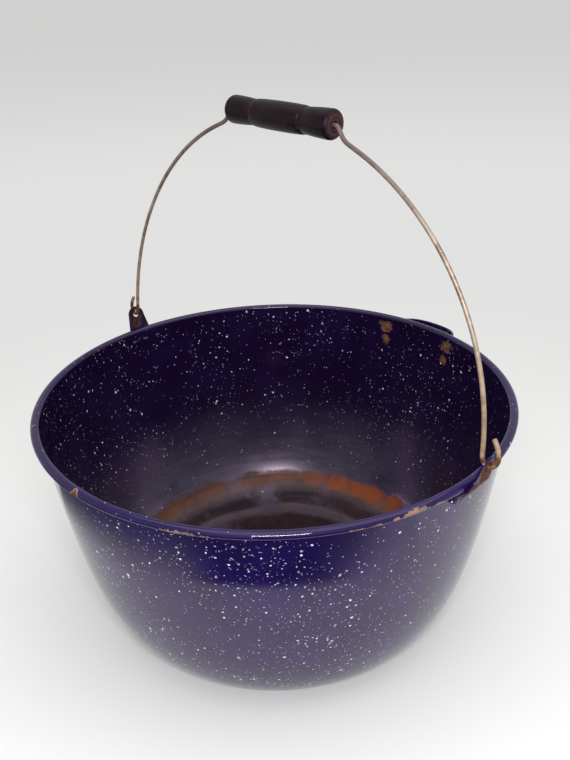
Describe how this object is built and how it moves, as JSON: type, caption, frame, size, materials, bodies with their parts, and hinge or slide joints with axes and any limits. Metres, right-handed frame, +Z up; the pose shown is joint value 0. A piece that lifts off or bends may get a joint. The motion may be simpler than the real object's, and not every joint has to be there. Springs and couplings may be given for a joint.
{
  "type": "preserving kettle",
  "caption": "Wide speckled-enamel preserving kettle with a rolled rim, a swinging wire bail with a turned wooden grip, and a strap handle behind for tipping it.",
  "frame": {"origin": "centre of the flat base, on the surface that the kettle stands on", "axes": "+Z up out of the base; the bail's two pivots lie along X; +Y points towards the tipping handle"},
  "size_m": [0.3976, 0.3885, 0.405],
  "materials": {
    "enamel": "glossy cobalt enamel with white speckles, chipped and rusted in places",
    "wire_steel": "weathered bare steel with brown rust",
    "stained_wood": "turned wood with a dark worn stain"
  },
  "bodies": {
    "kettle": {"kettle_shell": "enamel", "ear_right": "enamel", "ear_left": "enamel", "ear_right_rivet_1": "enamel", "ear_right_rivet_2": "enamel", "ear_right_rivet_3": "enamel", "ear_left_rivet_1": "enamel", "ear_left_rivet_2": "enamel", "ear_left_rivet_3": "enamel", "tipping_handle": "enamel", "tipping_handle_rivet_1": "enamel", "tipping_handle_rivet_2": "enamel", "tipping_handle_rivet_3": "enamel", "tipping_handle_rivet_4": "enamel"},
    "bail": {"bail_wire": "wire_steel"},
    "grip": {"grip": "stained_wood"}
  },
  "joints": [
    {"name": "bail_swing", "type": "hinge", "parent": "kettle", "child": "bail", "pos_m": [0, 0, 0.204], "axis": [1, 0, 0], "range_deg": [-86.8, 94.8]},
    {"name": "grip_spin", "type": "hinge", "parent": "bail", "child": "grip", "pos_m": [0.0027, 0.01325, 0.39354], "axis": [0.9994, -0.0024, -0.0348], "continuous": true}
  ]
}
